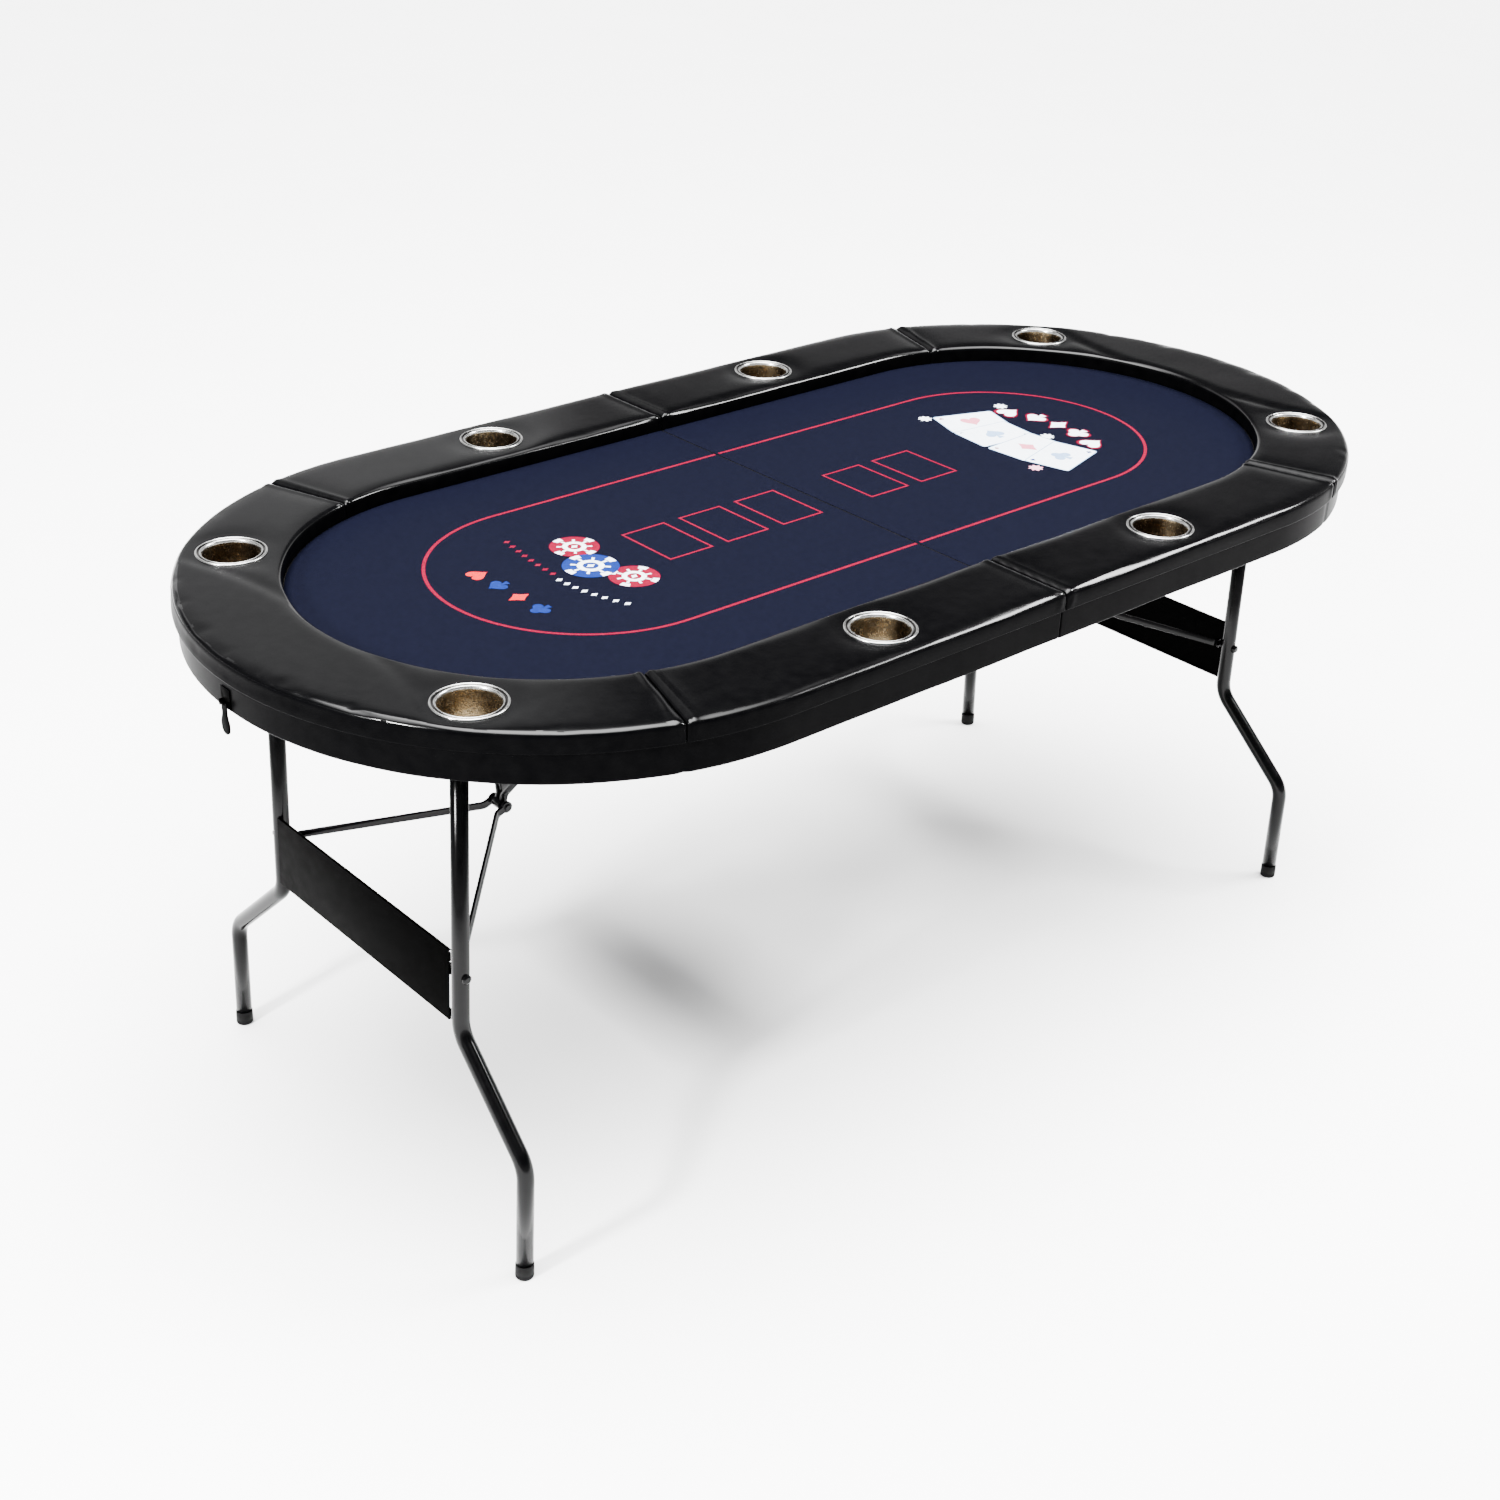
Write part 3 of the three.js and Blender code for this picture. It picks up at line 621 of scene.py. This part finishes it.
class Print:
    """Flat printed shapes for one half, gathered by material and layer."""

    def __init__(self):
        self.parts = {}

    def add(self, material, layer, outer, *holes):
        points, faces = self.parts.setdefault(material.name, (material, [], []))[1:]
        loops = [[Vector((p[0], p[1], 0)) for p in loop] for loop in (outer, *holes)]
        flat = [p for loop in loops for p in loop]
        start = len(points)
        lift = 0.00012 + 0.00008 * layer
        points += [(p.x, p.y, CLOTH_TOP + lift) for p in flat]
        for triangle in geometry.tessellate_polygon(loops):
            a, b, c = (flat[i] for i in triangle)
            up = (b - a).cross(c - a).z > 0
            faces.append(tuple(start + i for i in (triangle if up else reversed(triangle))))

    def line(self, material, layer, points, width, closed=False):
        """A mitred ribbon along a line of points."""
        path = [Vector(p) for p in points]
        left, right = [], []
        for i, p in enumerate(path):
            before = (p - path[i - 1]).normalized() if closed or i else None
            after = (path[(i + 1) % len(path)] - p).normalized() if closed or i < len(path) - 1 else None
            before, after = before or after, after or before
            normal = Vector((-(before.y + after.y), before.x + after.x)).normalized()
            half = width / 2 / max(0.3, normal.dot(Vector((-before.y, before.x))))
            left.append(p + normal * half)
            right.append(p - normal * half)
        if closed:
            area = sum(a.x * b.y - b.x * a.y for a, b in zip(path, path[1:] + path[:1]))
            outer, inner = (right, left) if area > 0 else (left, right)
            self.add(material, layer, outer, inner)
        else:
            self.add(material, layer, left + right[::-1])

    def disc(self, material, layer, x, y, radius, inner=0.0):
        def ring(r):
            angles = [2 * math.pi * i / 48 for i in range(48)]
            return [(x + r * math.cos(a), y + r * math.sin(a)) for a in angles]

        self.add(material, layer, ring(radius), *([ring(inner)] if inner else []))

    def wedge(self, material, layer, x, y, inner, outer, middle, spread):
        angles = [middle + spread * (i / 6 - 0.5) for i in range(7)]
        far = [(x + outer * math.cos(a), y + outer * math.sin(a)) for a in angles]
        near = [(x + inner * math.cos(a), y + inner * math.sin(a)) for a in angles]
        self.add(material, layer, far + near[::-1])


def lobe(x, y, start, stop):
    """Points round a club's leaf between two angles in degrees."""
    angles = [math.radians(a) for a in range(start, stop, 20)]
    return [(x + 0.22 * math.cos(a), y + 0.22 * math.sin(a)) for a in angles]


def suit(kind, x, y, size, turn=0.0):
    """Outline of a card suit whose height is size, its top towards turn from +X."""
    if kind == "diamond":
        quarter = [(0.5, 0), (0.18, 0.2), (0, 0.38), (-0.18, 0.2)]
        base = quarter + [(-p[0], -p[1]) for p in quarter]
    elif kind == "club":
        top = lobe(0.22, 0, -100, 101)
        left = lobe(-0.08, 0.24, 20, 221)
        right = [(p[0], -p[1]) for p in reversed(left)]
        base = top + left + [(-0.14, 0.05), (-0.48, 0.14), (-0.48, -0.14), (-0.14, -0.05)] + right
    else:
        heart = []
        for i in range(40):
            t = 2 * math.pi * i / 40
            u = 16 * math.sin(t) ** 3
            v = 13 * math.cos(t) - 5 * math.cos(2 * t) - 2 * math.cos(3 * t) - math.cos(4 * t)
            heart.append((v / 32 + 0.08, -u / 36))
        if kind == "heart":
            base = heart
        else:
            base = [(0.1 - p[0] * 0.85, -p[1]) for p in heart]
            stem = [(-0.22, 0.05), (-0.5, 0.15), (-0.5, -0.15), (-0.22, -0.05)]
            lowest = min(range(40), key=lambda i: (abs(base[i][1]) > 0.02, base[i][0]))
            base = base[lowest + 1:] + base[:lowest]
            base = base + (stem[::-1] if base[-1][1] < 0 else stem)
    c, s = math.cos(turn), math.sin(turn)
    return [(x + size * (p[0] * c - p[1] * s), y + size * (p[0] * s + p[1] * c)) for p in base]


SUITS = ("heart", "spade", "diamond", "club")


def chip(sheet, material, x, y, radius, turn, level):
    sheet.disc(material, level, x, y, radius)
    for i in range(8):
        a = turn + i * math.pi / 4
        if i % 2 == 0:
            sheet.wedge(WHITE, level + 1, x, y, radius * 0.74, radius * 0.985, a, 0.42)
        sheet.wedge(WHITE, level + 1, x, y, radius * 0.46, radius * 0.70, a, 0.16)
    sheet.disc(WHITE, level + 1, x, y, radius * 0.48, radius * 0.28)
    sheet.add(WHITE, level + 1, suit("diamond", x, y, radius * 0.36, turn))


def star(sheet, material, x, y, radius):
    points = []
    for i in range(32):
        r = radius * (1.0 if i % 4 in (1, 2) else 0.72)
        a = 2 * math.pi * i / 32
        points.append((x + r * math.cos(a), y + r * math.sin(a)))
    sheet.add(material, 1, points)


def card(sheet, kind, material, x, y, turn, level):
    """A card 100 by 70 mm with corner pips, its long side along turn."""
    c, s = math.cos(turn), math.sin(turn)

    def at(u, v):
        return (x + u * c - v * s, y + u * s + v * c)

    border = rounded([(u * 0.05, v * 0.035, 0.005) for u, v in ((-1, -1), (1, -1), (1, 1), (-1, 1))], 0.05)
    sheet.add(WHITE, level, [at(*p) for p in border])
    tint = PALE_RED if material is RED else PALE_BLUE
    sheet.add(tint, level + 1, suit(kind, *at(0, 0), 0.036, turn + math.pi / 2))
    for u, v, up in ((0.040, -0.026, 0), (-0.040, 0.026, math.pi)):
        sheet.add(material, level + 1, suit(kind, *at(u, v), 0.009, turn + up + math.pi / 2))
    sheet.line(PALE_BLUE, level + 1, [at(*p) for p in border], 0.0016, closed=True)


def prints(side):
    sheet = Print()
    sign = -1 if side == "left" else 1
    clear = 0.0034
    arc = [math.pi / 2 - math.pi * i / 72 for i in range(73)]
    oval = [(sign * (0.395 + 0.205 * math.cos(a)), 0.205 * math.sin(a)) for a in arc]
    sheet.line(RED, 0, [(sign * clear, 0.205)] + oval + [(sign * clear, -0.205)], 0.0046)
    boxes = (-0.261, -0.1635, -0.065) if side == "left" else (0.1005, 0.198)
    for x in boxes:
        corners = [(x - 0.035, -0.05), (x + 0.035, -0.05), (x + 0.035, 0.05), (x - 0.035, 0.05)]
        sheet.line(RED, 0, corners, 0.0032, closed=True)
    if side == "left":
        chip(sheet, RED, -0.370, 0.057, 0.033, 0.2, 1)
        chip(sheet, RED, -0.367, -0.064, 0.033, 0.5, 1)
        chip(sheet, BLUE, -0.391, -0.005, 0.037, 0.0, 3)
        for kind, y in zip(SUITS, (0.058, 0.016, -0.028, -0.072)):
            tint = CORAL if kind in ("heart", "diamond") else BLUE
            sheet.add(tint, 0, suit(kind, -0.520, y, 0.031, math.pi))
        for i in range(8):
            t = i / 7
            x, y = -0.431 - 0.013 * math.sin(t * math.pi / 2), 0.122 - 0.118 * t
            sheet.add(RED, 0, suit("diamond", x, y, 0.011, math.pi))
        for i in range(8):
            t = i / 7
            x, y = -0.449 + 0.024 * t * t, -0.016 - 0.108 * t
            sheet.add(WHITE, 0, suit("diamond", x, y, 0.011, math.pi))
    else:
        fan = (
            ("heart", RED, 0.4035, 0.079, -18.6),
            ("spade", BLUE, 0.3910, 0.022, -6.0),
            ("diamond", RED, 0.3900, -0.046, 4.0),
            ("club", BLUE, 0.4010, -0.102, 16.0),
        )
        for i, (kind, tint, x, y, turn) in enumerate(fan):
            card(sheet, kind, tint, x, y, math.radians(turn), 2 * i)
        for x, y in ((0.354, 0.131), (0.491, 0.102), (0.448, -0.033)):
            star(sheet, WHITE, x, y, 0.011)
        star(sheet, PINK, 0.335, -0.112, 0.011)
        for i in range(5):
            t = i / 4 - 0.5
            x, y = 0.500 - 0.07 * t * t, -0.009 - 0.168 * t
            kind = SUITS[i % 4]
            sheet.add(RED, 0, suit(kind, x, y, 0.046, math.pi))
            sheet.add(WHITE, 1, suit(kind, x, y, 0.037, math.pi))
    for material, points, faces in sheet.parts.values():
        obj = made(f"{side}_{material.name}", points, faces, material, closed=False)
        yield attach(obj, f"{side}_half")


# ---- cup holders ---------------------------------------------------------------------------

CUP_PROFILE = [
    (0, 705.4), (20, 705.3), (30.6, 705.3), (32.0, 705.8), (32.8, 707.0), (33.2, 709.0), (34.2, 728),
    (35.7, 755), (36.2, 759.4), (36.7, 761.4), (37.4, 762.8), (38.3, 763.3), (39.2, 763.0), (40.0, 762.2),
    (41.5, 762.1), (42.4, 763.3), (43.5, 763.9), (44.5, 763.4), (45.1, 762.5), (45.0, 761.7), (43.6, 761.5),
    (38.0, 761.4), (37.2, 757), (34.6, 709), (33.8, 705.4), (32.0, 704.2), (0, 704.1),
]  # in millimetres
RIM_START = 0.7585  # above this the steel is polished
FLOOR_END = 0.7065  # and below this


def cups():
    for side in ("left", "right"):
        for word, (x, y) in (("end", END_CUP), ("side", SIDE_CUP)):
            for back in (True, False):
                points, faces = lathe([(r / 1000, z / 1000) for r, z in CUP_PROFILE])
                name = f"{side}_{word}_cup_{end_word(side, back)}"
                obj = put(
                    f"{name}_shell", side, (points + np.array((x, y, 0)), faces), LINING, f"{side}_half",
                    [name], front=not back,
                )
                obj.data.materials.append(POLISHED)
                obj.data.materials.append(GROOVE_SHADE)
                at = np.array((x, y if back else -y)) * (1 if side == "left" else -1)
                for polygon in obj.data.polygons:
                    height = polygon.center.z
                    away = math.hypot(polygon.center.x - at[0], polygon.center.y - at[1])
                    if height > 0.7618 and 0.0390 < away < 0.0422:
                        polygon.material_index = 2  # the groove in the rim, painted near-black as its shade
                    elif height > RIM_START or height < FLOOR_END:
                        polygon.material_index = 1


# ---- leg frames ----------------------------------------------------------------------------


def leg_point(x, y, z):
    """A point drawn on the upright leg frame, its height measured along the leg from the pivot."""
    return Vector((
        LEG_PIVOT.x + x * math.cos(LEAN) + z * math.sin(LEAN),
        y,
        LEG_PIVOT.z - x * math.sin(LEAN) + z * math.cos(LEAN),
    ))


def along(z):
    return (z - LEG_PIVOT.z) / math.cos(LEAN)


def leg_line():
    """The leg's middle line in its frame: (across, along) points with rounded kinks."""
    corners = [
        Vector((0.207, 0.007)),
        Vector((0.207, along(0.289))),
        Vector((0.342, along(0.165))),
        Vector((0.342, along(0.0046))),
    ]
    line = [corners[0]]
    for i in (1, 2):
        before = (corners[i] - corners[i - 1]).normalized()
        after = (corners[i + 1] - corners[i]).normalized()
        turn = before.angle(after)
        reach = 0.045 * math.tan(turn / 2)
        start, end = corners[i] - before * reach, corners[i] + after * reach
        for k in range(13):
            t = k / 12
            line.append(start.lerp(corners[i], t).lerp(corners[i].lerp(end, t), t))
    line.append(corners[3])
    return line


def tube(line, radius, segments=28):
    rings = []
    for i, p in enumerate(line):
        a, b = line[max(i - 1, 0)], line[min(i + 1, len(line) - 1)]
        along_it = (b - a).normalized()
        side = Vector((-along_it.y, along_it.x))
        turns = [2 * math.pi * k / segments for k in range(segments)]
        spots = [(radius * math.sin(t), p + side * radius * math.cos(t)) for t in turns]
        rings.append([leg_point(x, q.x, q.y) for x, q in spots])
    return skin(rings)


FOOT_PROFILE = [
    (0, 0.0), (10.2, 0.0), (11.2, 0.3), (11.8, 1.1), (12.0, 2.4), (12.0, 5.0), (11.7, 5.5), (11.7, 6.1),
    (12.0, 6.6), (11.9, 18.6), (11.7, 19.4), (11.3, 19.9), (11.05, 20.0), (11.02, 19.6), (11.02, 18.0),
    (0, 18.0),
]


def legs():
    leg_shape = tube(leg_line(), 0.011)
    foot_points, foot_faces = lathe([(r / 1000, z / 1000) for r, z in FOOT_PROFILE], 40)
    sole = leg_point(0, 0.342, along(0))
    foot_points[:, 0] += foot_points[:, 2] * math.tan(LEAN) + sole.x
    foot_points[:, 1] += sole.y
    for side in ("left", "right"):
        for back in (True, False):
            word = end_word(side, back)
            put(
                f"{side}_leg_{word}_tube", side, leg_shape, ENAMEL, f"{side}_legs",
                [f"{side}_leg_{word}"], front=not back,
            )
            put(
                f"{side}_foot_{word}_cap", side, (foot_points, foot_faces), RUBBER, f"{side}_legs",
                [f"{side}_foot_{word}"], front=not back,
            )


# ---- metal fittings with softened edges ----------------------------------------------------


def softened(node, material, width, slot):
    """A copy of a CAD node with welded faces and rounded edges, which stands for the node."""
    work = bmesh.new()
    work.from_mesh(nodes[node].data)
    bmesh.ops.remove_doubles(work, verts=work.verts, dist=1e-6)
    bmesh.ops.dissolve_limit(work, angle_limit=math.radians(0.5), verts=work.verts, edges=work.edges)
    sharp = math.radians(35)
    edges = [e for e in work.edges if len(e.link_faces) == 2 and e.calc_face_angle(0) > sharp]
    bmesh.ops.bevel(
        work, geom=edges, offset=width, segments=2, profile=0.5, affect="EDGES",
        clamp_overlap=True, offset_type="OFFSET",
    )
    mesh = bpy.data.meshes.new(f"{node}_soft")
    work.to_mesh(mesh)
    work.free()
    mesh.polygons.foreach_set("use_smooth", [True] * len(mesh.polygons))
    mesh.set_sharp_from_angle(angle=math.radians(30))
    mesh.materials.clear()
    mesh.materials.append(material)
    obj = bpy.data.objects.new(f"{node}_finish", mesh)
    scene.collection.objects.link(obj)
    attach(obj, nodes[node]["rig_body"])
    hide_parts(node)
    return obj


FINISHES = (
    ("deck_board", BOARD, 0.0010, "board"),
    ("fold_beam", BOARD, 0.0010, "board"),
    ("leg_axle", BRIGHT, 0.0006, "bright_steel"),
    ("leg_bracket", SATIN, 0.0007, "black_steel"),
    ("link_bracket", SATIN, 0.0007, "black_steel"),
    ("leg_panel", SATIN, 0.0004, "black_steel"),
    ("brace_bolt", ENAMEL, 0.0005, "black_steel"),
    ("brace_arm", ENAMEL, 0.0006, "black_steel"),
    ("brace_link", ENAMEL, 0.0006, "black_steel"),
    ("hinge_leaf", BRIGHT, 0.0003, "bright_steel"),
    ("latch_base", SATIN, 0.0005, "black_steel"),
    ("latch_lever", SATIN, 0.0008, "black_steel"),
    ("latch_keeper", SATIN, 0.0006, "black_steel"),
)


def fittings():
    for node in sorted(nodes):
        for word, material, width, slot in FINISHES:
            if word in node:
                softened(node, material, width, slot)


# ---- build ---------------------------------------------------------------------------------

rails()
aprons()
cloths()
cups()
legs()
fittings()


# ---- stage ---------------------------------------------------------------------------------


def floor():
    angles = [2 * math.pi * i / 64 for i in range(64)]
    points = [(30 * math.cos(a), 30 * math.sin(a), -0.0005) for a in angles]
    made("floor", points, [tuple(range(64))], pale_floor(), closed=False)


def area_light(name, place, aim, width, height, power, colour=(1, 1, 1)):
    data = bpy.data.lights.new(name, "AREA")
    data.shape, data.size, data.size_y, data.energy, data.color = "RECTANGLE", width, height, power, colour
    lamp = bpy.data.objects.new(name, data)
    lamp.location = place
    lamp.rotation_mode = "QUATERNION"
    lamp.rotation_quaternion = (Vector(aim) - Vector(place)).to_track_quat("-Z", "Y")
    scene.collection.objects.link(lamp)


def studio():
    world = bpy.data.worlds.new("studio")
    world.use_nodes = True
    tree = world.node_tree
    background = tree.nodes["Background"]
    place = tree.nodes.new("ShaderNodeTexCoord")
    split = tree.nodes.new("ShaderNodeSeparateXYZ")
    ramp = tree.nodes.new("ShaderNodeValToRGB")
    elements = ramp.color_ramp.elements
    elements[0].position, elements[0].color = 0.16, (1.6, 1.6, 1.6, 1)
    elements[1].position, elements[1].color = 1.0, (34, 34, 34, 1)
    for height in (0.32, 0.78):
        elements.new(height).color = (0.10, 0.10, 0.105, 1)
    tree.links.new(place.outputs["Generated"], split.inputs["Vector"])
    tree.links.new(split.outputs["Z"], ramp.inputs["Fac"])
    tree.links.new(ramp.outputs["Color"], background.inputs["Color"])
    background.inputs["Strength"].default_value = 1.0
    scene.world = world
    area_light("overhead", (-0.6, 0.2, 4.6), (0, 0, 0), 4.0, 3.0, 500)
    area_light("right", (3.2, -1.8, 3.4), (0, 0, 0.7), 1.8, 0.9, 560)
    area_light("left", (-4.2, -0.4, 2.6), (0, 0, 0), 0.5, 0.5, 700)
    area_light("left_back", (0.5, 3.3, 2.5), (-0.85, 0.1, 0.76), 2.6, 2.0, 26)


def camera():
    data = bpy.data.cameras.new("camera")
    data.sensor_width, data.lens = 36, 51.14
    data.clip_start, data.clip_end = 0.05, 100
    azimuth, elevation, roll = (math.radians(a) for a in (-42.29, 28.44, 2.10))
    back = Vector((
        math.sin(azimuth) * math.cos(elevation),
        -math.cos(azimuth) * math.cos(elevation),
        math.sin(elevation),
    ))
    obj = bpy.data.objects.new("camera", data)
    obj.rotation_mode = "QUATERNION"
    obj.location = Vector((-0.0712, 0.0322, 0.3498)) + back * 3.1154
    obj.rotation_quaternion = (-back).to_track_quat("-Z", "Y") @ Quaternion((0, 0, 1), roll)
    scene.collection.objects.link(obj)
    scene.camera = obj


floor()
studio()
camera()
